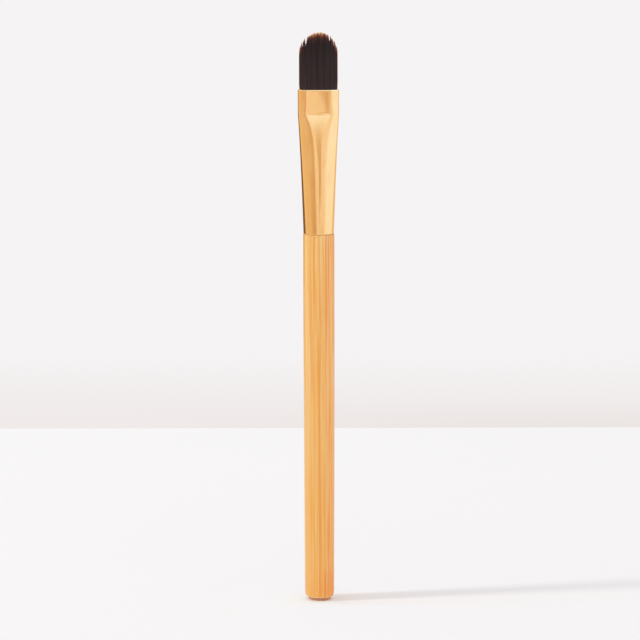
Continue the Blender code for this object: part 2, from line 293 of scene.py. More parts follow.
# %% [markdown]
# ## Light
#
# The light is a bright even room with one soft lamp. The room is the world's own white, at a level where a
# colour shows about as it is written. The lamp stands far to the left and a little in front, at 37 degrees
# above the table, and is narrow, so the slim brush throws one soft shadow to the right.

# %% Room light and lamp
ROOM_LEVEL = 0.855
LAMP_DISTANCE = 3.0
LAMP_AZIMUTH = math.radians(191.5)
LAMP_HEIGHT_ANGLE = math.radians(37)
LAMP_SIZE = (0.32, 0.6)
LAMP_WATTS = 22.4

room = bpy.data.worlds.new("room")
room.use_nodes = True
scene.world = room
room_tree = room.node_tree
room_light = room_tree.nodes["Background"]
room_light.inputs["Color"].default_value = (1.0, 1.0, 1.0, 1.0)
room_light.inputs["Strength"].default_value = ROOM_LEVEL
to_camera = add_node(room_tree, "LightPath").outputs["Is Camera Ray"]
room_seen = add_node(room_tree, "Background", {"Color": (*WALL_WHITE, 1.0)}).outputs[0]
room_mix = add_node(room_tree, "MixShader", {0: to_camera, 1: room_light.outputs[0], 2: room_seen})
room_tree.links.new(room_mix.outputs[0], room_tree.nodes["World Output"].inputs["Surface"])

lamp_data = bpy.data.lights.new("soft_lamp", "AREA")
lamp_data.shape = "RECTANGLE"
lamp_data.size, lamp_data.size_y = LAMP_SIZE
lamp_data.energy = LAMP_WATTS
lamp = add_object("soft_lamp", lamp_data)
lamp.matrix_world = (
    Matrix.Rotation(LAMP_AZIMUTH + math.pi / 2, 4, "Z")
    @ Matrix.Rotation(math.pi / 2 - LAMP_HEIGHT_ANGLE, 4, "X")
    @ Matrix.Translation((0.0, 0.0, LAMP_DISTANCE))
)
scene.view_settings.view_transform = "Standard"
print("room at", ROOM_LEVEL, "and a lamp of", LAMP_WATTS, "W")

# %% [markdown]
# ## A skin over rings
#
# The handle is turned and the tube is drawn, so both are stacks of closed rings, and so is the ring of cards
# that they will mirror. The Screw modifier could spin an outline, but it can't change a section from round to
# flat. One helper puts a skin over such a stack. Rings that fall on one point make a flat end, and a stack
# whose last ring is its first makes a tube with an inside. The helper also lays out a map that runs round the
# piece and along it, so that anything painted or baked through it follows the grain.


# %% Skin helpers
SHARP_EDGE = math.radians(40)
MERGE_WITHIN = 1e-8


def spin(outline, sides):
    """A stack of rings from an outline of (radius, height)."""
    turns = np.linspace(0.0, math.tau, sides, endpoint=False)
    return [
        np.column_stack([radius * np.cos(turns), radius * np.sin(turns), np.full(sides, height)])
        for radius, height in outline
    ]


def skin_rings(name, rings, finish):
    """Makes a closed, smooth piece from rings of points, all with as many points."""
    rings = np.asarray(rings, float)
    count, around = rings.shape[:2]
    steps = np.linalg.norm(np.diff(rings, axis=0), axis=2).max(1)
    along = np.concatenate([[0.0], np.cumsum(steps)]) / steps.sum()
    faces = []
    places = []
    for ring in range(count - 1):
        first, above = ring * around, (ring + 1) * around
        low, high = along[ring], along[ring + 1]
        for column in range(around):
            after = (column + 1) % around
            faces.append((first + column, first + after, above + after, above + column))
            left, right = column / around, (column + 1) / around
            places += [(left, low), (right, low), (right, high), (left, high)]
    mesh = bpy.data.meshes.new(name)
    mesh.from_pydata(rings.reshape(-1, 3).tolist(), [], faces)
    bake_map = mesh.uv_layers.new(name="OFBake")
    bake_map.uv.foreach_set("vector", np.array(places, np.float32).ravel())
    bm = bmesh.new()
    bm.from_mesh(mesh)
    bmesh.ops.remove_doubles(bm, verts=bm.verts, dist=MERGE_WITHIN)
    bmesh.ops.recalc_face_normals(bm, faces=bm.faces)
    bm.to_mesh(mesh)
    bm.free()
    mesh.materials.append(finish.material)
    mesh.shade_smooth()
    mesh.set_sharp_from_angle(angle=SHARP_EDGE)
    print(name, "has", len(mesh.polygons), "faces")
    return add_object(name, mesh)


# %% [markdown]
# ## What the gold mirrors
#
# Polished metal has hardly any colour of its own: it shows its surroundings, tinted. A photographer stands
# white sheets and darker cards round a brush for this reason, so that its tube has long light and dark bands.
# A real picture of a studio could be wrapped round the scene, but here each band can be placed. One tall ring
# of card goes round the brush, and only mirror rays meet it. Its colours are two ramps round the ring, one
# for the part near the table and one for the part above the brush's middle, times a ramp up its height. On
# the left, the upper bands lean, because a card there isn't quite upright.

# %% Ring of cards
RING_RADIUS = 0.6
RING_PANELS = 96
# Height, and the ring's radius there as a share
RING_LEVELS = ((-0.02, 1.0), (0.5, 1.0), (0.8, 0.75), (0.95, 0.4), (1.0, 0.0))
CARD_SHADE = (0.22, 0.15, 0.09)
CARD_AMBER = (0.9, 0.73, 0.5)
CARD_BRIGHT = (1.07, 1.27, 1.55)
CARD_TALL = (1.05, 1.24, 1.52)

# Angle from the camera in degrees, negative to the left, and the card's colour there
LOW_BANDS = (
    (-180, CARD_SHADE), (-119, CARD_SHADE), (-113, (1.00, 0.86, 0.64)), (-100, (0.95, 0.81, 0.58)),
    (-88, (0.89, 0.75, 0.54)), (-58, (0.88, 0.74, 0.53)), (-46, (0.79, 0.61, 0.4)), (-32, (0.67, 0.51, 0.3)),
    (-17, (0.69, 0.53, 0.32)), (-9, (0.97, 0.94, 0.88)), (40, (0.97, 0.92, 0.85)), (50, (1.06, 1.22, 1.44)),
    (96, (1.07, 1.25, 1.42)), (114, (1.05, 1.15, 1.24)), (122, CARD_AMBER), (180, CARD_AMBER),
)
HIGH_BANDS = (
    (-180, CARD_SHADE), (-122, (0.35, 0.24, 0.14)), (-112, (0.94, 0.79, 0.58)), (-100, (0.92, 0.78, 0.57)),
    (-60, (0.88, 0.75, 0.56)), (-42, (0.86, 0.75, 0.6)), (-31, (0.82, 0.68, 0.52)), (-23, (0.77, 0.6, 0.41)),
    (-18.3, (0.77, 0.6, 0.41)), (-14.7, (1.02, 0.99, 0.96)), (25, (1.01, 0.98, 0.97)),
    (32, (1.03, 1.1, 1.2)), (41, CARD_BRIGHT), (98, CARD_BRIGHT), (108, (1.00, 1.05, 1.1)),
    (120, CARD_AMBER), (180, CARD_AMBER),
)
LOW_HEIGHT = 0.062
HIGH_HEIGHT = 0.105
# The upper bands lean by so many degrees per metre: at one height they stand where their angles say, and
# above another they lean no further
EDGE_LEAN = 83.0
LEAN_HEIGHT = 0.13
LEAN_TOP = 0.19
CARD_HEIGHTS = (
    (0.0, 1.0), (0.225, 1.0), (0.285, CARD_TALL), (0.5, CARD_TALL), (0.7, (1.0, 1.12, 1.3)),
    (1.0, (1.0, 1.05, 1.1)),
)


def glowing_card(name):
    """A card that gives off its own colour, whatever light falls on it."""
    card = Finish(name)
    card.tree.nodes.remove(card.shader)
    card.shader = add_node(card.tree, "Emission")
    card.show(card.shader.outputs[0])
    return card


def for_mirrors_only(card):
    """Hides a card from every ray but those off glossy surfaces."""
    for ray in ("camera", "diffuse", "transmission", "volume_scatter", "shadow"):
        setattr(card, "visible_" + ray, False)


ring_card = glowing_card("ring_of_cards")
ring_x, ring_y, ring_z = ring_card.axes()
ring_degrees = ring_card.degrees_from_front(ring_x, ring_y)
ring_turn = ring_card.math("MULTIPLY_ADD", ring_degrees, 1 / 360, 0.5)
lean_rise = ring_card.math("SUBTRACT", ring_card.math("MINIMUM", ring_z, LEAN_TOP), LEAN_HEIGHT)
lean_left = ring_card.math("MULTIPLY", ring_card.math("LESS_THAN", ring_degrees, 0.0), -EDGE_LEAN / 360)
leaning_turn = ring_card.math("MULTIPLY_ADD", lean_rise, lean_left, ring_turn)
low_ramp, high_ramp = (
    ring_card.ramp(turn, [(degrees / 360 + 0.5, colour) for degrees, colour in bands])
    for turn, bands in ((ring_turn, LOW_BANDS), (leaning_turn, HIGH_BANDS))
)
ring_bands = ring_card.mix(ring_card.fade(ring_z, LOW_HEIGHT, HIGH_HEIGHT), low_ramp, high_ramp)
ring_card.feed("Color", ring_card.times(ring_bands, ring_card.ramp(ring_z, CARD_HEIGHTS)))
ring_outline = [(RING_RADIUS * share, height) for height, share in RING_LEVELS]
ring = skin_rings("ring_of_cards", spin(ring_outline, RING_PANELS), ring_card)
for_mirrors_only(ring)
print("ring of cards with", len(LOW_BANDS), "low and", len(HIGH_BANDS), "high bands")

# %% [markdown]
# ## A dark card
#
# The camera and its stand mirror themselves in the tube too, as a dark shape with soft ends. A model of a
# camera could stand there, but one flat card with that outline is enough. It stands just inside the ring and
# gets clear towards its top and bottom.

# %% Dark card
SHADE_INSIDE = 0.97
SHADE_COLOUR = (0.73, 0.58, 0.38)
# The card's corners as (degrees from the camera, height), and how it fades up its height
CAMERA_SHADE = (
    (-1.4, 0.28), (1.0, 0.28), (1.0, 0.215), (1.6, 0.19), (3.7, 0.171), (6.2, 0.154), (8.7, 0.14),
    (10.9, 0.129), (12.4, 0.115), (13.0, 0.106), (14.5, 0.1), (14.0, 0.096), (6.2, 0.096), (5.6, 0.08),
    (1.9, 0.08), (2.0, 0.108), (1.2, 0.118), (0.2, 0.126), (-0.7, 0.133), (-1.2, 0.145), (-1.2, 0.19),
)
SHADE_FADE = ((0.08, 0.0), (0.086, 1.0), (0.19, 1.0), (0.28, 0.0))

shade_card = glowing_card("camera_shade")
shade_card.shader.inputs["Color"].default_value = (*SHADE_COLOUR, 1.0)
shade_share = shade_card.ramp(shade_card.axes()[2], SHADE_FADE)
clear = shade_card.node("BsdfTransparent")[0]
shade_card.show(shade_card.node("MixShader", {0: shade_share, 1: clear, 2: shade_card.shader.outputs[0]})[0])
shade_radius = RING_RADIUS * SHADE_INSIDE
shade_corners = [
    (shade_radius * math.sin(math.radians(degrees)), -shade_radius * math.cos(math.radians(degrees)), height)
    for degrees, height in CAMERA_SHADE
]
for_mirrors_only(stage_sheet("camera_shade", shade_corners, shade_card))
print("dark card with", len(shade_corners), "corners")

# %% [markdown]
# ## How a pressed tube changes shape
#
# The ferrule is drawn as a round tube and then squeezed between two jaws. Metal hardly stretches, so each
# section keeps its girth: what it loses in thickness it gains in width. A section is modelled as two flats
# joined by two half ellipses, and its thickness is solved for, so that its girth stays that of the round
# tube. That one rule gives the slow cone below the jaws, which is hard to draw by hand and is what the long
# reflections follow. The flat starts late and widens faster and faster until it meets the jaws.

# %% Sizes of the ferrule
ferrule_low, ferrule_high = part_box("ferrule")
FOOT_SEATED = 0.00022
FERRULE_FOOT = ferrule_low.z - FOOT_SEATED
FERRULE_LENGTH = ferrule_high.z - FERRULE_FOOT
FERRULE_DIAMETER = 0.0082
PRESSED_THICKNESS = 0.0036
JAW_LENGTH = 0.00642
JAW_LINE = FERRULE_LENGTH - JAW_LENGTH
JAW_FLAT_WIDTH = 0.0067
PANEL_WIDTH = 0.0062
LATE_SPREAD = 0.23
FLAT_ONSET_POWER = 5.5
KNEE_SOFTNESS = 0.018

HALF_PANEL = PANEL_WIDTH / 2
QUARTER_GIRTH = math.pi * FERRULE_DIAMETER / 4
ARC = np.linspace(0.0, math.pi / 2, 120)
FLAT_STEPS = np.linspace(0.0, 1.0, 13)[:-1]
HALVINGS = 40


def quarter_outline(half_width, half_flat, half_thickness):
    """A quarter of the section: along half a flat, then round to the narrow side."""
    x = np.concatenate([half_flat * FLAT_STEPS, half_flat + (half_width - half_flat) * np.sin(ARC)])
    y = np.concatenate([np.full(len(FLAT_STEPS), half_thickness), half_thickness * np.cos(ARC)])
    return np.column_stack([x, y])


def girth_of(outline):
    """The length along a run of points, from its start to each point."""
    return np.concatenate([[0.0], np.cumsum(np.linalg.norm(np.diff(outline, axis=0), axis=1))])


def solve_girth(outline_at, low, high):
    """The size between low and high whose outline has the girth of the round tube."""
    for _ in range(HALVINGS):
        middle = (low + high) / 2
        too_short = girth_of(outline_at(middle))[-1] < QUARTER_GIRTH
        low, high = (middle, high) if too_short else (low, middle)
    return (low + high) / 2


PRESSED_HALF_WIDTH = solve_girth(
    lambda tried: quarter_outline(tried, HALF_PANEL, PRESSED_THICKNESS / 2), HALF_PANEL, QUARTER_GIRTH
)


def ferrule_section(height):
    """Half width, half flat and half thickness of the tube's outside, this high over its foot."""
    reached = height / JAW_LINE
    overlap = max(0.0, KNEE_SOFTNESS - abs(reached - 1)) / KNEE_SOFTNESS
    pressed = min(reached, 1.0) - overlap**2 * KNEE_SOFTNESS / 4
    spread = (1 - LATE_SPREAD) * pressed + LATE_SPREAD * pressed**3
    half_width = FERRULE_DIAMETER / 2 + (PRESSED_HALF_WIDTH - FERRULE_DIAMETER / 2) * spread
    half_flat = JAW_FLAT_WIDTH / 2 * pressed**FLAT_ONSET_POWER
    half_thickness = solve_girth(
        lambda tried: quarter_outline(half_width, half_flat, tried), 0.0, FERRULE_DIAMETER
    )
    return half_width, half_flat, half_thickness


print("pressed mouth, mm:", round(2000 * PRESSED_HALF_WIDTH, 2), "by", round(1000 * PRESSED_THICKNESS, 2))

# %% [markdown]
# ## Ferrule
#
# The jaws also sink a rectangular panel into each broad face, which grips the hair behind it. The panel's
# floor isn't perfectly flat: it twists by a few hundredths of a millimetre, which is why its mirror image
# breaks along a slanting line. Pressed metal springs back a little, so the broad faces stay slightly crowned,
# and the narrow margins beside the panel fall away towards the tube's sides. The lip leans in before it turns
# over, and that narrow slope catches the light from above as a bright line. A subdivided box could be pushed
# into such a shape, but its creases would wander, so each ring of points is worked out from the sizes.

# %% One ring of the ferrule
CROWN = 0.11
JAW_EASE = 0.0006
MARGIN_START = 0.0001
MARGIN_REACH = 0.0011
MARGIN_DROP = 0.06
MARGIN_EASE = 0.0036
PANEL_BOTTOM = 0.0062
PANEL_DEPTH = 0.00015
PANEL_SLOPE = 0.00014
PANEL_LIP = 0.00026
PANEL_TWIST = -4.0
FREE_STATIONS = 30
GIRTH_STATIONS = np.concatenate([
    np.linspace(0.0, HALF_PANEL - PANEL_SLOPE, 15)[:-1],
    np.linspace(HALF_PANEL - PANEL_SLOPE, HALF_PANEL, 6),
])


def ease(value, start, end):
    """A share that goes from 0 at the start to 1 at the end without corners."""
    share = np.clip((value - start) / (end - start), 0.0, 1.0)
    return share * share * (3 - 2 * share)


def margin_share(x):
    """How far out on the margin beside the panel this x is, from 0 to 1."""
    return ease(x, HALF_PANEL + MARGIN_START, HALF_PANEL + MARGIN_START + MARGIN_REACH)


def panel_sink(height, distance):
    """How far the panel sinks the broad face, this far along the girth from the face's middle."""
    below_mouth = FERRULE_LENGTH - height
    share = ease(below_mouth, PANEL_BOTTOM + PANEL_SLOPE, PANEL_BOTTOM)
    share *= ease(below_mouth, PANEL_LIP, PANEL_LIP + PANEL_SLOPE)
    across = ease(np.abs(distance), HALF_PANEL, HALF_PANEL - PANEL_SLOPE)
    middle = FERRULE_LENGTH - PANEL_BOTTOM / 2
    return share * across * (PANEL_DEPTH + PANEL_TWIST * distance * (height - middle))


def ferrule_ring(height, inset=0.0):
    """Points round the section, drawn in by an inset, each at its own distance along the girth."""
    half_width, half_flat, half_thickness = ferrule_section(height)
    half_flat -= (JAW_FLAT_WIDTH - PANEL_WIDTH) / 2 * ease(height, JAW_LINE, JAW_LINE + JAW_EASE)
    outline = quarter_outline(half_width - inset, half_flat, half_thickness - inset)
    pressed = min(height / JAW_LINE, 1.0)
    outline[:, 1] *= 1 - CROWN * pressed**2 * (outline[:, 0] / half_width) ** 2
    drop = MARGIN_DROP * ease(height, JAW_LINE, JAW_LINE + MARGIN_EASE)
    outline[:, 1] *= 1 - drop * margin_share(outline[:, 0])
    girth = girth_of(outline)
    free = HALF_PANEL + (girth[-1] - HALF_PANEL) * np.linspace(0.0, 1.0, FREE_STATIONS)[1:]
    distances = np.concatenate([GIRTH_STATIONS, free])
    x = np.interp(distances, girth, outline[:, 0])
    y = np.interp(distances, girth, outline[:, 1])
    right, left = y - panel_sink(height, distances), y - panel_sink(height, -distances)
    loop = np.concatenate([
        np.column_stack([x, right]),
        np.column_stack([x, -left])[-2::-1],
        np.column_stack([-x, -right])[1:],
        np.column_stack([-x, left])[-2:0:-1],
    ])
    return np.column_stack([loop, np.full(len(loop), FERRULE_FOOT + height)])


print("each ring of the ferrule has", len(ferrule_ring(JAW_LINE)), "points")

# %% [markdown]
# ## Rings from the foot to the mouth and back
#
# A tube could be one sheet with the Solidify modifier, but its lip is drawn in outside and rounded inside.
# Here the rings run from the foot to the mouth outside, over the lip, and down the bore to the foot again, so
# the tube has a real wall. They are closest together at the knee and the lip, where the mirror image turns
# fastest.

# %% Ferrule rings
FERRULE_WALL = 0.00035
LIP_HEIGHT = 0.0003
LIP_DRAW_IN = 0.00012
LIP_INNER = 0.0001
FOOT_DRAW_IN = 0.00002
FOOT_LIP = 0.0002
KNEE_REACH = 0.0006
# Upper end of each span of rings outside, and how many rings it has
RING_SPANS = (
    (JAW_LINE - 0.0022, 59), (JAW_LINE - KNEE_REACH, 12), (JAW_LINE + KNEE_REACH, 36),
    (FERRULE_LENGTH - PANEL_LIP - 2 * PANEL_SLOPE, 19), (FERRULE_LENGTH - LIP_HEIGHT, 15),
)
FOOT_LIP_SHARES = (0.0, 0.3, 0.6, 0.85, 1.0)
LIP_TURNS = np.linspace(0.0, math.pi / 2, 9)[1:]
INNER_LIP_TURNS = np.linspace(math.pi / 2, 0.0, 5)[:-1]

outer_heights = [FOOT_LIP * share for share in FOOT_LIP_SHARES]
for height, count in RING_SPANS:
    outer_heights += list(np.linspace(outer_heights[-1], height, count + 1)[1:])
outer_heights = np.array(outer_heights)
foot_insets = FOOT_DRAW_IN * (1 - np.clip(outer_heights / FOOT_LIP, 0, 1)) ** 2
ferrule_rings = [ferrule_ring(height, inset) for height, inset in zip(outer_heights, foot_insets)]
for turn in LIP_TURNS:
    height = FERRULE_LENGTH - LIP_HEIGHT * (1 - math.sin(turn))
    ferrule_rings.append(ferrule_ring(height, LIP_DRAW_IN * (1 - math.cos(turn))))
for turn in INNER_LIP_TURNS:
    height = FERRULE_LENGTH - LIP_INNER * (1 - math.sin(turn))
    ferrule_rings.append(ferrule_ring(height, FERRULE_WALL - LIP_INNER * (1 - math.cos(turn))))
# The bore needs only every third height, down to the foot
ferrule_rings += [ferrule_ring(height, FERRULE_WALL) for height in [*outer_heights[:4:-3], 0.0]]
ferrule_rings.append(ferrule_rings[0])
print("ferrule:", len(ferrule_rings), "rings")

# %% [markdown]
# ## Gold finish
#
# The tube is thin aluminium, polished and anodised gold. Its mirror image is nearly sharp, but drawing and
# pressing leave hair-fine lines along the tube, a faint waviness, and a few tiny scuffs, and the anodised
# layer is a touch paler where the lip has rubbed. Noise stretched along Z makes the lines, and a slow noise
# makes the waviness. A plain metal with one roughness would look like plastic foil.

# %% Gold finish
GOLD = (0.94, 0.585, 0.262)
GOLD_RUBBED = (0.96, 0.66, 0.36)
GOLD_DEEP = (0.9, 0.53, 0.215)
GOLD_TONES = ((0.36, GOLD_DEEP), (0.5, GOLD), (0.62, GOLD), (0.72, GOLD_RUBBED))
RUBBED_FROM = ferrule_high.z - LIP_HEIGHT
RUBBED_FULLY = ferrule_high.z - 0.4 * LIP_HEIGHT
SCUFF_ROUGHNESS = ((0.35, 0.085), (0.62, 0.115), (0.74, 0.22))
LINE_RELIEF = 0.12
GOLD_RELIEF = 0.000012

gold = Finish("gold_anodised", Metallic=1.0, Roughness=0.1)
draw_lines = gold.noise(scale=9000.0, detail=3.0, z=0.02)
waviness = gold.noise(scale=420.0, z=0.35)
scuffs = gold.noise(scale=2600.0, detail=4.0, roughness=0.7)
gold_tone = gold.math("MULTIPLY", gold.math("ADD", draw_lines, waviness), 0.5)
rubbed_share = gold.fade(gold.axes()[2], RUBBED_FROM, RUBBED_FULLY)
gold.feed("Base Color", gold.mix(rubbed_share, gold.ramp(gold_tone, GOLD_TONES), GOLD_RUBBED))
gold.feed("Roughness", gold.ramp(scuffs, SCUFF_ROUGHNESS))
gold.bump(gold.math("MULTIPLY_ADD", draw_lines, LINE_RELIEF, waviness), GOLD_RELIEF)

ferrule = skin_rings("gold_ferrule", ferrule_rings, gold)
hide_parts("ferrule")
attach(ferrule, "root")

# %% [markdown]
# ## Handle
#
# The handle is turned from a solid bamboo rod. It is nearly straight, a hair thinner towards the foot, and
# its end is softened and then undercut, so that the brush stands on a flat a little smaller than the rod.
# Above, a shoulder meets the ferrule and a tenon goes up into it. A turned piece is one outline spun round an
# axis. The Screw modifier would do it, but spinning the outline in code lets the same skin helper lay out the
# map.

# %% Handle outline
HANDLE_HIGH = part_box("handle")[1].z
TENON_LENGTH = 0.012
HANDLE_SHOWN_LENGTH = HANDLE_HIGH - TENON_LENGTH
HANDLE_TOP_DIAMETER = 0.00844
HANDLE_FOOT_DIAMETER = 0.00796
SHOULDER_ROUNDING = 0.00025
FOOT_FLAT_DIAMETER = 0.0056
FOOT_RIM_HEIGHT = 0.0012
FOOT_RIM_DRAW_IN = 0.00018
FOOT_SOFTENING = 0.0016
FOOT_UNDERCUT_BULGE = 0.00015
TENON_CHAMFER = 0.0005
TENON_CLEARANCE = FERRULE_WALL + 0.00045
SHOULDER_TURNS = np.linspace(0.0, math.pi / 2, 8)
ROD_STATIONS = 50
FOOT_SHARES = np.linspace(0.0, 1.0, 9)[1:]


def handle_radius(height):
    """The rod's radius: the taper is slight under the ferrule and grows downwards."""
    below_top = 1 - height / HANDLE_SHOWN_LENGTH
    return (HANDLE_TOP_DIAMETER - (HANDLE_TOP_DIAMETER - HANDLE_FOOT_DIAMETER) * below_top**2) / 2


tenon_base = FERRULE_DIAMETER / 2 - TENON_CLEARANCE
tenon_end = ferrule_section(TENON_LENGTH)[2] - TENON_CLEARANCE
handle_outline = [
    (0.0, HANDLE_HIGH),
    (tenon_end - TENON_CHAMFER, HANDLE_HIGH),
    (tenon_end, HANDLE_HIGH - TENON_CHAMFER),
    (tenon_base, HANDLE_SHOWN_LENGTH),
]
for turn in SHOULDER_TURNS:
    handle_outline.append((
        handle_radius(HANDLE_SHOWN_LENGTH) - SHOULDER_ROUNDING * (1 - math.sin(turn)),
        HANDLE_SHOWN_LENGTH - SHOULDER_ROUNDING * (1 - math.cos(turn)),
    ))
soft_top = FOOT_RIM_HEIGHT + FOOT_SOFTENING
for height in np.linspace(HANDLE_SHOWN_LENGTH - SHOULDER_ROUNDING, soft_top, ROD_STATIONS)[1:]:
    handle_outline.append((handle_radius(height), height))
for share in FOOT_SHARES:
    height = soft_top - FOOT_SOFTENING * share
    handle_outline.append((handle_radius(height) - FOOT_RIM_DRAW_IN * share**2, height))
rim = np.array(handle_outline[-1])
undercut = np.array([FOOT_FLAT_DIAMETER / 2, 0.0]) - rim
outward = np.array([-undercut[1], undercut[0]]) / np.linalg.norm(undercut)
for share in FOOT_SHARES:
    bulge = FOOT_UNDERCUT_BULGE * math.sin(math.pi * share)
    handle_outline.append(tuple(rim + undercut * share - outward * bulge))
handle_outline.append((0.0, 0.0))
print("handle outline of", len(handle_outline), "points, foot flat, mm:", 1000 * FOOT_FLAT_DIAMETER)

# %% [markdown]
# ## Bamboo under satin lacquer
#
# Bamboo is a bundle of straight fibres, so its colour hardly changes along the rod and changes every half
# millimetre across it. A flat picture of wood would show a seam at the foot. Noise that is stretched about
# seventyfold along Z gives such fibres all through the rod, and the foot then shows their cut ends without
# more work. Broad and fine fibres are mixed, strongest on the right and under the ferrule and calmer
# elsewhere. The lacquer is a thin coat, smooth enough for a soft shine.

# %% Bamboo fibres and lacquer
BAMBOO_PALE = (0.912, 0.595, 0.245)
BAMBOO_MIDDLE = (0.87, 0.47, 0.128)
BAMBOO_DEEP = (0.835, 0.358, 0.05)
FIBRE_TONES = ((0.41, BAMBOO_DEEP), (0.5, BAMBOO_MIDDLE), (0.6, BAMBOO_PALE))
# How strongly the fibres show: by share of the shown length, then by share of the rod's width from the left
FIBRES_ALONG = ((0.0, 0.5), (0.12, 0.42), (0.38, 0.42), (0.55, 0.56), (0.75, 0.66))
FIBRES_ACROSS = ((0.45, 1.0), (0.65, 1.45))
ROD_WIDTH = 0.008
LACQUER_ROUGHNESS = ((0.35, 0.36), (0.65, 0.5))
FIBRE_RELIEF = 0.00001

bamboo = Finish(
    "bamboo_lacquered", Roughness=0.42, Coat_Weight=0.3, Coat_Roughness=0.16, Specular_IOR_Level=0.35
)
rod_x, rod_y, rod_z = bamboo.axes()
rod_share = bamboo.math("DIVIDE", rod_z, HANDLE_SHOWN_LENGTH)
rod_side = bamboo.math("MULTIPLY_ADD", rod_x, 1 / ROD_WIDTH, 0.5)

fine_fibres = bamboo.noise(scale=3600.0, z=0.016)
both_fibres = bamboo.math("ADD", fine_fibres, bamboo.noise(scale=1300.0, detail=1.5, z=0.012))
off_middle = bamboo.math("MULTIPLY_ADD", both_fibres, 0.5, -0.5)
shown = bamboo.times(bamboo.ramp(rod_share, FIBRES_ALONG), bamboo.ramp(rod_side, FIBRES_ACROSS))
colour = bamboo.ramp(bamboo.math("MULTIPLY_ADD", off_middle, shown, 0.5), FIBRE_TONES)
bamboo.feed("Roughness", bamboo.ramp(fine_fibres, LACQUER_ROUGHNESS))
bamboo.bump(fine_fibres, FIBRE_RELIEF)
print("bamboo has", len(FIBRE_TONES), "fibre tones")

# %% [markdown]
# ## Veins
#
# The rod also has single veins, dark or pale, and one fine crack that starts at its foot. Noise would bring
# such lines out at any place. These are laid where the real rod has them, each a soft line at one angle round
# the rod that fades out at both ends.

# %% Veins
# Angle from the front in degrees, half width in degrees, lower and upper end in metres, and strength of each
# vein, which is dark, or pale where the strength is negative
VEIN = (0.8, 0.255, 0.022)
VEINS = (
    (-18.0, 2.6, 0.078, 0.125, 0.75), (33.0, 6.0, 0.018, 0.074, -0.5), (27.4, 2.3, 0.066, 0.125, 0.95),
    (37.0, 2.6, 0.08, 0.125, 0.6), (1.0, 2.8, -0.01, 0.066, 0.55), (19.0, 2.2, -0.01, 0.046, 0.45),
    (37.0, 2.6, -0.01, 0.032, 0.4), (-50.0, 4.0, 0.02, 0.11, -0.45), (47.0, 2.5, -0.004, 0.01, 0.7),
    (60.0, 5.0, -0.002, 0.009, 0.35), (-12.0, 13.0, 0.056, 0.092, 0.17), (-3.4, 2.4, 0.07, 0.125, -0.6),
    (-27.5, 4.5, 0.054, 0.092, 0.32), (7.5, 4.0, 0.054, 0.094, 0.15),
)
VEIN_ALONG = ((0.0, 0.0), (0.2, 1.0), (0.8, 1.0), (1.0, 0.0))
VEIN_SOFTNESS = 0.5
CRACK = (23.2, 1.2, -0.004, 0.0096, 0.85)
CRACK_COLOUR = (0.73, 0.2, 0.03)

rod_degrees = bamboo.degrees_from_front(rod_x, rod_y)


def vein_share(angle, half_width, low, high, strength):
    """Where a vein is and how strong: a soft line round one angle that fades out at its ends."""
    aside = bamboo.math("ABSOLUTE", bamboo.math("SUBTRACT", rod_degrees, angle))
    across = bamboo.fade(aside, half_width * (1 + VEIN_SOFTNESS), half_width * (1 - VEIN_SOFTNESS))
    along = bamboo.ramp(bamboo.fade(rod_z, low, high), VEIN_ALONG)
    return bamboo.math("MULTIPLY", bamboo.times(across, along), strength)


for *place, strength in VEINS:
    colour = bamboo.mix(vein_share(*place, abs(strength)), colour, VEIN if strength > 0 else BAMBOO_PALE)
colour = bamboo.mix(vein_share(*CRACK), colour, CRACK_COLOUR)
print(len(VEINS), "veins and a crack")

# %% [markdown]
# ## Tints, painted rim highlight and undercut shade
#
# The rod gets more orange towards its foot. There a pale highlight is painted along its rim, and painted
# shade darkens the undercut under it, mottled like end grain. Across the rod, painted light makes the right
# side, away from the lamp, lighter and the lit left side a touch darker. All this could be painted by hand on
# a map, but soft ramps along and across the rod keep to its real size and are quick to change.

# %% Tints and the handle
# Tints by share of the shown length, then by share of the rod's width from the left
WARMTH = (
    (0.0, (1.0, 0.94, 0.85)), (0.5, (1.0, 0.97, 0.91)), (0.97, (1.0, 1.0, 1.0)), (0.99, (1.0, 1.03, 1.15)),
)
WARMTH_ACROSS = ((0.2, 0.15), (0.5, 1.0))
FOOT_TINT = (
    (0.0, (1.05, 0.98, 0.94)), (0.017, (1.04, 0.96, 0.91)), (0.03, (1.02, 0.905, 0.81)),
    (0.045, (1.015, 0.925, 0.86)), (0.075, (1.01, 0.97, 0.94)), (0.11, (1.0, 1.0, 1.0)),
)
# Painted light across the rod: lighter on the right side, away from the lamp, a touch darker on the lit left
SIDE_PAINTED_LIGHT = (
    (0.15, (0.96, 0.98, 1.0)), (0.4, (1.0, 1.0, 0.955)), (0.62, (1.065, 1.045, 0.96)),
    (0.85, (1.065, 0.955, 0.96)),
)
# The painted highlight along the rim and the painted shade on the undercut, by share of the rim's height;
# the shade is weaker at the right
RIM_PAINTED_HIGHLIGHT = (0.96, 0.7, 0.31)
RIM_HIGHLIGHT_BAND = ((0.7, 0.0), (0.8, 0.9), (1.0, 0.9), (1.0, 0.0))
UNDERCUT_SHADE_TONES = ((0.35, (0.432, 0.188, 0.132)), (0.65, (0.648, 0.282, 0.198)))
UNDERCUT_SHADE_SHOWN = ((0.0, 0.3), (0.18, 0.6), (0.3, 1.0), (0.68, 1.0), (0.78, 0.0))
UNDERCUT_SHADE_ACROSS = ((0.68, 1.0), (0.84, 0.45))
HANDLE_SIDES = 128

rim_share = bamboo.math("DIVIDE", rod_z, FOOT_RIM_HEIGHT)
warmth = bamboo.ramp(rod_share, WARMTH)
colour = bamboo.mix(bamboo.ramp(rod_side, WARMTH_ACROSS), colour, warmth, "MULTIPLY")
colour = bamboo.times(colour, bamboo.ramp(rod_side, SIDE_PAINTED_LIGHT))
colour = bamboo.times(colour, bamboo.ramp(rod_share, FOOT_TINT))
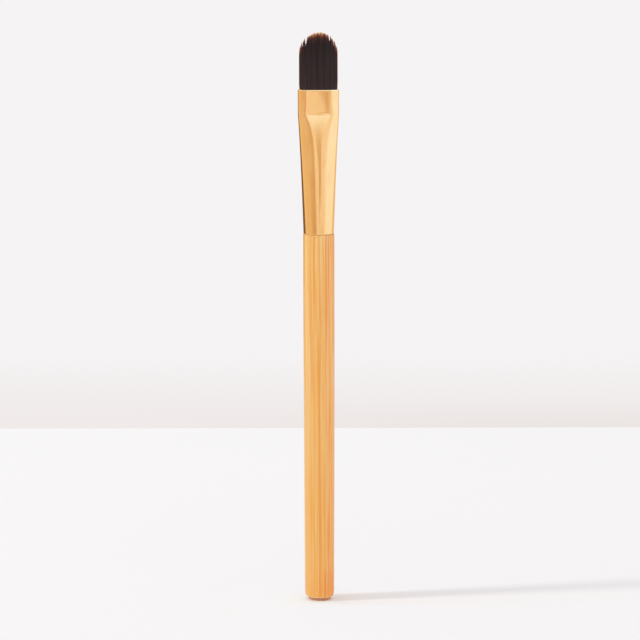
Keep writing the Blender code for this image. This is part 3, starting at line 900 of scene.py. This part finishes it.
# Painted highlight: a pale band along the rim
colour = bamboo.mix(bamboo.ramp(rim_share, RIM_HIGHLIGHT_BAND), colour, RIM_PAINTED_HIGHLIGHT)
# Painted shade on the undercut that faces the table, mottled like end grain, weaker at the right
undercut_shade_tone = bamboo.ramp(bamboo.noise(scale=5200.0), UNDERCUT_SHADE_TONES)
undercut_shade_share = bamboo.times(bamboo.ramp(rim_share, UNDERCUT_SHADE_SHOWN), bamboo.ramp(rod_side, UNDERCUT_SHADE_ACROSS))
bamboo.feed("Base Color", bamboo.mix(undercut_shade_share, colour, undercut_shade_tone))

handle = skin_rings("bamboo_handle", spin(handle_outline, HANDLE_SIDES), bamboo)
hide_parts("handle")
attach(handle, "root")

# %% [markdown]
# ## Hair tuft
#
# The tuft is a flat bundle of straight synthetic hairs, each about a tenth of a millimetre thick, bound in
# the ferrule and cut to a dome. Blender's hair curves would draw it, but they don't go into an exported
# model, so every hair is a fine three-sided tube in one mesh. The hairs stand in rows and columns over the
# bore's section, a little out of line, so each one starts inside the ferrule, where it would be glued.

# %% Where each hair starts
tuft_low, tuft_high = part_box("bristle_tuft")
SECTION_DEPTH = 0.0003
GLUED_GAP = 0.0001
HAIR_DIAMETER = 0.0001
COLUMN_WIDTH = 0.94 * HAIR_DIAMETER
OUT_OF_LINE = 0.3
STAGGER = 0.25
ALMOST_EDGE = 0.999
LEAST_THICKNESS = 1e-6
HAIR_SEED = 11

random = np.random.default_rng(HAIR_SEED)
mouth_half_width, mouth_half_flat, mouth_half_thickness = ferrule_section(FERRULE_LENGTH - SECTION_DEPTH)
mouth_half_width -= FERRULE_WALL + GLUED_GAP
mouth_half_thickness -= FERRULE_WALL + GLUED_GAP


def bundle_half_thickness(x):
    """How thick the bundle is to each side of its middle plane, at the mouth."""
    past_flat = np.clip((np.abs(x) - mouth_half_flat) / (mouth_half_width - mouth_half_flat), 0.0, 1.0)
    return mouth_half_thickness * np.sqrt(1 - past_flat**2)


hair_starts = []
columns = np.arange(-mouth_half_width + HAIR_DIAMETER / 2, mouth_half_width, COLUMN_WIDTH)
for number, x in enumerate(columns):
    reach = bundle_half_thickness(x) - HAIR_DIAMETER / 2
    rows = max(1, round(2 * reach / HAIR_DIAMETER))
    shift = STAGGER * (1 + number % 2)
    hair_starts += [(x, reach * (2 * (row + shift) / rows - 1)) for row in range(rows)]
hair_starts = np.array(hair_starts)
hair_count = len(hair_starts)
hair_starts += random.uniform(-OUT_OF_LINE, OUT_OF_LINE, hair_starts.shape) * HAIR_DIAMETER
start_x, start_y = hair_starts.T
across = np.clip(start_x / mouth_half_width, -ALMOST_EDGE, ALMOST_EDGE)
through = np.clip(start_y / np.maximum(bundle_half_thickness(start_x), LEAST_THICKNESS), -1.0, 1.0)
print(hair_count, "hairs")

# %% [markdown]
# ## The dome, clump by clump
#
# Clean hair clings together at its ends, so hairs at the edge of a clump end lower than those in its middle,
# and narrow strands that end together give the dome its ragged teeth. Cutting a mesh to a dome would leave
# one smooth face. Here the dome is only a height for each hair, and a little luck for each clump, strand and
# hair is taken off it. The outermost hairs end lower still, as a used brush shows.

# %% Height of each hair
TUFT_WIDTH = tuft_high.x - tuft_low.x
CLUMP_WIDTH = 0.00062
CLUMP_DEPTH = 0.0011
CLUMP_OFF_MIDDLE = 0.12
CLUMP_LUCK = (-1.0, 0.6)
CLUMP_SHORTER = 0.00012
CLUMP_EDGE_SHORTER = 0.00014
DOME_HEIGHT = 0.0072
DOME_LEAN = 0.05
DOME_FLATTER = 0.89
DOME_SHOULDER = 0.09
FLANK_LOWER = 0.00012
TIP_ALLOWANCE = 0.00009
TIP_INSIDE = 0.00002
STRAND_WIDTH = 0.00028
STRAND_SHORTER = 0.00022
OUTER_HAIRS_SHORTER = 0.0004
SKIN_HAIRS_SHORTER = 0.0009
SKIN_STARTS = 0.75
HAIR_UNEVENNESS = 0.0005
UNEVENNESS_CURVE = 1.4

tip_x = across * TUFT_WIDTH / 2
clump_column = np.floor(tip_x / CLUMP_WIDTH + 0.5)
clump_row = np.floor(start_y / CLUMP_DEPTH + 0.5 * (clump_column % 2))
clump_x, clump_y, clump_luck = np.zeros((3, hair_count))
for column, row in sorted(set(zip(clump_column, clump_row))):
    members = (clump_column == column) & (clump_row == row)
    clump_x[members] = tip_x[members].mean() + random.normal(0.0, CLUMP_OFF_MIDDLE) * CLUMP_WIDTH
    clump_y[members] = start_y[members].mean()
    clump_luck[members] = min(random.uniform(*CLUMP_LUCK), 0.0)
off_middle = np.clip(np.abs(tip_x - clump_x) / (CLUMP_WIDTH / 2), 0.0, 1.0)
strand = np.floor(tip_x / STRAND_WIDTH).astype(int)
strand -= strand.min()
strand_luck = random.uniform(0.0, 1.0, strand.max() + 1)[strand]

cut = across - DOME_LEAN * (1 - across**2) ** 2
dome = DOME_HEIGHT * (1 - np.sqrt(1 - (cut * (DOME_FLATTER + DOME_SHOULDER * cut**2)) ** 2))
dome += FLANK_LOWER * np.sin(math.pi * np.abs(cut)) ** 2
hair_tops = tuft_high.z + TIP_ALLOWANCE - dome - OUTER_HAIRS_SHORTER * through**2
in_skin = np.abs(through) > SKIN_STARTS
hair_tops -= SKIN_HAIRS_SHORTER * in_skin * random.uniform(0.0, 1.0, hair_count) ** 2
hair_tops += CLUMP_SHORTER * clump_luck - CLUMP_EDGE_SHORTER * off_middle
hair_tops -= HAIR_UNEVENNESS * random.uniform(0.0, 1.0, hair_count) ** UNEVENNESS_CURVE
hair_tops -= STRAND_SHORTER * strand_luck**2
hair_tops = np.minimum(hair_tops, tuft_high.z - TIP_INSIDE)
print("tallest hair, mm:", round(1000 * hair_tops.max(), 2))

# %% [markdown]
# ## From the root to the tip
#
# A hair is bound at its root and free at its tip. The bundle spreads slightly in width above the mouth and
# closes up in thickness, so it is a thin wedge. Over its last few millimetres each hair leans towards the
# middle of its clump. A few partings go right through the thin tip and show the background: there the hairs
# are pushed aside, more and more towards their ends. Comb tools could groom this by hand, but smooth pushes
# on straight lines of points give the same hairs at every run, and no hair kinks.

# %% Hair lines
MOUTH = FERRULE_FOOT + FERRULE_LENGTH
# Depths below a hair's tip at which it has rings
BELOW_TIP = np.array([0.0, 0.00035, 0.0009, 0.0016, 0.0026, 0.0042, 0.0072])
BELOW_MOUTH = 0.0001
ROOT_LIFT = 0.0001
LEAST_STEP = 0.00001
TIP_THICKNESS = 0.0012
SPREAD = 1.02
SPREAD_REACH = 0.0012
SPREAD_CURVE = 0.6
LEAN = 0.00006
LEAN_THROUGH = 0.5
CLUMP_PULL = 0.28
CLUMP_REACH = 0.003
# Place across the tuft, half width at the tip, and depth below the dome
PARTINGS = (
    (-0.00335, 0.0003, 0.0032), (-0.00425, 0.0001, 0.0024), (-0.0019, 0.00007, 0.001),
    (0.003, 0.00018, 0.0024), (0.00402, 0.00003, 0.0009),
)
PARTING_SPREAD = 0.00028

root_z = tuft_low.z + ROOT_LIFT
widened = SPREAD * TUFT_WIDTH / 2 / mouth_half_width - 1
thinned = TIP_THICKNESS / 2 / mouth_half_thickness - 1
lean = random.normal(0.0, LEAN, (hair_count, 2))

heights = np.column_stack([hair_tops[:, None] - BELOW_TIP, np.full(hair_count, MOUTH - BELOW_MOUTH)])
heights = heights[:, ::-1]
heights[:, 1:] = np.maximum(heights[:, 1:], heights[:, :1] + LEAST_STEP * np.arange(1, heights.shape[1]))
heights = np.column_stack([np.full(hair_count, root_z), heights])
below_top = hair_tops[:, None] - heights
above_mouth = np.clip(heights - MOUTH, 0.0, None)
rise = above_mouth / (tuft_high.z - MOUTH)
to_tip = ease(below_top, CLUMP_REACH, 0.0) * (heights > MOUTH)

line_x = start_x[:, None] * (1 + widened * np.minimum(above_mouth / SPREAD_REACH, 1.0) ** SPREAD_CURVE)
line_y = start_y[:, None] * (1 + thinned * rise)
line_y *= 1 - MARGIN_DROP * margin_share(np.abs(start_x))[:, None]
# The bore is a little narrower at the roots than at the mouth
root_half_width = ferrule_section(root_z - FERRULE_FOOT)[0] - FERRULE_WALL - GLUED_GAP
line_x[:, 0] *= root_half_width / mouth_half_width
line_x += lean[:, :1] * rise + (clump_x - tip_x)[:, None] * CLUMP_PULL * to_tip
line_y += lean[:, 1:] * rise * LEAN_THROUGH
line_y += (clump_y - start_y)[:, None] * (1 + thinned) * CLUMP_PULL * to_tip
for place, half_gap, depth in PARTINGS:
    dome_here = tuft_high.z - DOME_HEIGHT * (1 - math.sqrt(1 - (2 * place / TUFT_WIDTH) ** 2))
    opened = ease(heights, dome_here - depth, dome_here)
    aside = line_x - place
    line_x += np.sign(aside) * half_gap * np.exp(-np.abs(aside) / PARTING_SPREAD) * opened
most_aside = (TUFT_WIDTH - HAIR_DIAMETER) / 2
line_x = np.clip(line_x, -most_aside, most_aside)
print("each hair has", heights.shape[1], "rings;", len(PARTINGS), "partings")

# %% [markdown]
# ## One mesh for all the hairs
#
# A tube with three sides is the least that looks round when it is this thin. All hairs are made at once with
# arrays: every ring is three points round a hair's line, and the radius shrinks towards the tip, because
# synthetic brush hair is tapered. Two thousand separate objects would look the same but make the scene slow.

# %% Hair mesh
TAPER_REACH = 0.0014
TAPER_CURVE = 0.7
TIP_SHARE = 0.24
SIDES = 3
SIDE_ANGLES = np.radians([90, 210, 330])

ring_count = heights.shape[1]
taper = np.clip(below_top / TAPER_REACH, 0.0, 1.0) ** TAPER_CURVE
radii = HAIR_DIAMETER / 2 * (TIP_SHARE + (1 - TIP_SHARE) * taper)
hair_points = np.stack([
    line_x[:, :, None] + radii[:, :, None] * np.cos(SIDE_ANGLES),
    line_y[:, :, None] + radii[:, :, None] * np.sin(SIDE_ANGLES),
    np.repeat(heights[:, :, None], SIDES, axis=2),
], axis=3)
first = np.arange(hair_count)[:, None] * ring_count * SIDES
ring_base = first[:, :, None] + SIDES * np.arange(ring_count - 1)[None, :, None]
side = np.arange(SIDES)
after = (side + 1) % SIDES
hair_quads = np.stack(
    [ring_base + side, ring_base + after, ring_base + SIDES + after, ring_base + SIDES + side], axis=3
).reshape(-1, 4)
hair_ends = np.concatenate([first + [[2, 1, 0]], first + (ring_count - 1) * SIDES + side])

hair_mesh = bpy.data.meshes.new("hair_tuft")
hair_mesh.from_pydata(hair_points.reshape(-1, 3).tolist(), [], hair_quads.tolist() + hair_ends.tolist())
print("hair mesh with", len(hair_mesh.polygons), "faces")

# %% [markdown]
# ## Two numbers for the finish
#
# A finish can't know by itself where the dome is or which hair it is on. A painted map could tell it, but a
# number stored on each point is exact. Two are stored here: how near the point is to the tuft's domed edge,
# and a tone that is the same along one hair. The tone is partly random and partly painted sheen, lighter
# towards the tuft's left and right sides. The hairs on the far right count as near the edge too, because
# light comes through them from behind.

# %% Numbers on the hairs
CHESTNUT_REACH = 0.003
RIM_CHESTNUT_LONGER = 0.15
STRAND_CHESTNUT = 0.14
TIP_CHESTNUT = 0.74
TIP_CHESTNUT_REACH = 0.0006
FLANK_DARKER = 0.15
RIM_GLOW = 0.59
# Spans across the tuft, from -1 at the left to 1 at the right; two of them count from a middle of their own
RIM_SPAN = (0.88, 1.0)
GLOW_SPAN = (0.93, 0.97)
FLANK_MIDDLE = 0.12
FLANK_SPAN = (0.2, 0.7)
# Painted sheen: hairs towards the tuft's two sides get lighter tones, from this middle over this span
SIDE_SHEEN_MIDDLE = -0.06
SIDE_SHEEN_SPAN = (0.76, 0.96)
STREAKS = 45
STREAK_REACH = 0.0055

rim_reach = CHESTNUT_REACH * (1 + RIM_CHESTNUT_LONGER * ease(np.abs(across), *RIM_SPAN))
below_dome = (tuft_high.z - dome)[:, None] - heights
near_edge = np.clip(1 - below_dome / rim_reach[:, None], 0.0, 1.0)
near_edge += STRAND_CHESTNUT * random.uniform(-1.0, 1.0, hair_count)[strand][:, None]
near_edge = np.maximum(near_edge, TIP_CHESTNUT * np.clip(1 - below_top / TIP_CHESTNUT_REACH, 0.0, 1.0))
near_edge *= 1 - FLANK_DARKER * ease(np.abs(across - FLANK_MIDDLE), *FLANK_SPAN)[:, None]
near_edge = np.maximum(near_edge, RIM_GLOW * ease(across, *GLOW_SPAN)[:, None])
streak_places = np.linspace(-STREAK_REACH, STREAK_REACH, STREAKS)
tones = np.interp(start_x, streak_places, random.uniform(0.0, 1.0, STREAKS))
# A random tone for each hair, plus painted sheen towards the tuft's two sides
tones += random.uniform(0.0, 1.0, hair_count) + ease(np.abs(across - SIDE_SHEEN_MIDDLE), *SIDE_SHEEN_SPAN)
tones /= 2
for name, values in (("near_edge", near_edge.ravel()), ("hair_tone", np.repeat(tones, ring_count))):
    attribute = hair_mesh.attributes.new(name, "FLOAT", "POINT")
    attribute.data.foreach_set("value", np.repeat(values, SIDES).astype(np.float32))
print("hair tones from", round(tones.min(), 2), "to", round(tones.max(), 2))

# %% [markdown]
# ## A map for the hairs
#
# An exported model may have its finishes baked into a picture, and then every face needs its own place on it.
# Unwrapping thousands of tubes by hand or by angle takes long and wastes room, so the map is laid out in
# code. Each hair has its own cell, with its tip at the cell's top, and its three sides share the cell.

# %% Map of the hairs
CELLS_ACROSS = 96
CELL_LEFT = 0.15 / CELLS_ACROSS
CELL_WIDE = 0.7 / CELLS_ACROSS
CELL_LOW = 0.05
CELL_HIGH = 0.9

cell_rows = math.ceil(hair_count / CELLS_ACROSS)
cell = np.arange(hair_count)
left = cell % CELLS_ACROSS / CELLS_ACROSS + CELL_LEFT
span = (heights - heights[:, :1]) / (heights[:, -1:] - heights[:, :1])
v = ((cell // CELLS_ACROSS + CELL_LOW)[:, None] + CELL_HIGH * span) / cell_rows
u = np.repeat(left[:, None], ring_count - 1, axis=1)
quad_map = np.stack([
    np.stack([u + shift, level], 2)
    for shift, level in ((0.0, v[:, :-1]), (CELL_WIDE, v[:, :-1]), (CELL_WIDE, v[:, 1:]), (0.0, v[:, 1:]))
], axis=2)
quad_map = np.repeat(quad_map[:, :, None], SIDES, axis=2).reshape(-1, 2)
end_maps = [
    np.stack([[left, v[:, low]], [left + CELL_WIDE, v[:, low]], [left + CELL_WIDE / 2, v[:, low + 1]]])
    for low in (0, -2)
]
end_map = np.concatenate([ends.transpose(2, 0, 1).reshape(-1, 2) for ends in end_maps])
hair_map = hair_mesh.uv_layers.new(name="OFBake")
hair_map.uv.foreach_set("vector", np.concatenate([quad_map, end_map]).astype(np.float32).ravel())
hair_mesh.shade_smooth()
tuft = add_object("hair_tuft", hair_mesh)
print("tuft:", len(hair_quads) * 2 + len(hair_ends), "triangles")

# %% [markdown]
# ## Dark brown hair
#
# The hair is near black brown, but at the tuft's edge only a few tapered ends stand behind one another. Light
# gets through them there, so a thin rim glows chestnut, from dark red to nearly orange. Real light through
# hair needs a hair shader and many bounces. A ramp on the stored edge number gives the same look to a plain
# shader, with the change starting a little earlier or later from strand to strand. Below the dome the body
# gets lighter towards the mouth, where the hairs lie closest. The shine of hair is soft and lies across it,
# so the roughness is middling and varies between hairs.

# %% Hair finish
HAIR_TONES = (
    (0.0, (0.025, 0.014, 0.015)), (0.53, (0.048, 0.0275, 0.027)), (0.67, (0.068, 0.04, 0.037)),
    (1.0, (0.14, 0.085, 0.076)),
)
MOST_TONE = 1.5
# Share of the way from the mouth to the tip, and the body's tint there
HAIR_ALONG = (
    (0.04, (1.42, 1.32, 1.26)), (0.13, (1.18, 1.1, 1.02)), (0.34, (1.06, 1.02, 0.96)),
    (0.55, (0.9, 0.82, 0.82)), (0.76, (0.76, 0.58, 0.54)),
)
HAIR_EDGE = (
    (0.28, (0.046, 0.02, 0.018)), (0.42, (0.064, 0.024, 0.019)), (0.52, (0.082, 0.03, 0.023)),
    (0.6, (0.118, 0.04, 0.03)), (0.69, (0.2, 0.058, 0.036)), (0.78, (0.43, 0.145, 0.062)),
    (0.87, (0.72, 0.29, 0.105)), (0.97, (0.98, 0.58, 0.28)),
)
EDGE_LATER = 0.04
EDGE_BY_TONE = 0.18
EDGE_SHOWN = (0.06, 0.4)
HAIR_ROUGHNESS = ((0.0, 0.38), (1.0, 0.6))

hair = Finish("hair_dark_brown", Roughness=0.5, Specular_IOR_Level=0.25)
edge = hair.node("Attribute", attribute_name="near_edge")["Fac"]
tone = hair.node("Attribute", attribute_name="hair_tone")["Fac"]
body = hair.ramp(hair.math("DIVIDE", tone, MOST_TONE), HAIR_TONES)
body = hair.times(body, hair.ramp(hair.fade(hair.axes()[2], MOUTH, tuft_high.z), HAIR_ALONG))
edge = hair.math("MULTIPLY_ADD", tone, EDGE_BY_TONE, hair.math("SUBTRACT", edge, EDGE_LATER))
hair.feed("Base Color", hair.mix(hair.fade(edge, *EDGE_SHOWN), body, hair.ramp(edge, HAIR_EDGE)))
hair.feed("Roughness", hair.ramp(tone, HAIR_ROUGHNESS))
hair_mesh.materials.append(hair.material)
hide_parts("bristle_tuft")
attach(tuft, "root")
print("tuft wears", hair.material.name)

# %% [markdown]
# ## Glue joints
#
# Set epoxy under the roots holds the hair, and a film of glue holds the handle's tenon. Neither shows from
# outside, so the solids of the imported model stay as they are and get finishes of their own. Epoxy is amber
# and glossy with tiny bubbles. The glue is a cloudy cream film, wavy where it was squeezed.

# %% Glue finishes
EPOXY_TONES = ((0.35, (0.42, 0.25, 0.08)), (0.65, (0.62, 0.43, 0.19)))
GLUE_TONES = ((0.35, (0.66, 0.58, 0.42)), (0.65, (0.84, 0.79, 0.66)))
EPOXY_ROUGHNESS = ((0.1, 0.5), (0.3, 0.2))
GLUE_ROUGHNESS = ((0.3, 0.45), (0.7, 0.65))
BUBBLE_SCALE = 3500.0
BUBBLE_DEPTH = 0.00002
SQUEEZE_DEPTH = 0.00003

epoxy = Finish("epoxy_set", Roughness=0.25, Coat_Weight=0.3)
bubbles = epoxy.node("TexVoronoi", {"Vector": epoxy.places(), "Scale": BUBBLE_SCALE})["Distance"]
epoxy.feed("Base Color", epoxy.ramp(epoxy.noise(scale=900.0, detail=3.0), EPOXY_TONES))
epoxy.feed("Roughness", epoxy.ramp(bubbles, EPOXY_ROUGHNESS))
epoxy.bump(bubbles, BUBBLE_DEPTH)

glue = Finish("glue_film", Roughness=0.55)
squeeze = glue.noise(scale=1400.0, detail=3.0, z=0.4)
glue.feed("Base Color", glue.ramp(squeeze, GLUE_TONES))
glue.feed("Roughness", glue.ramp(squeeze, GLUE_ROUGHNESS))
glue.bump(squeeze, SQUEEZE_DEPTH)

for node_name, finish in (("root_plug", epoxy), ("tenon_glue", glue)):
    for material_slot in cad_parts[node_name].material_slots:
        material_slot.material = finish.material
    print(node_name, "wears", finish.material.name)
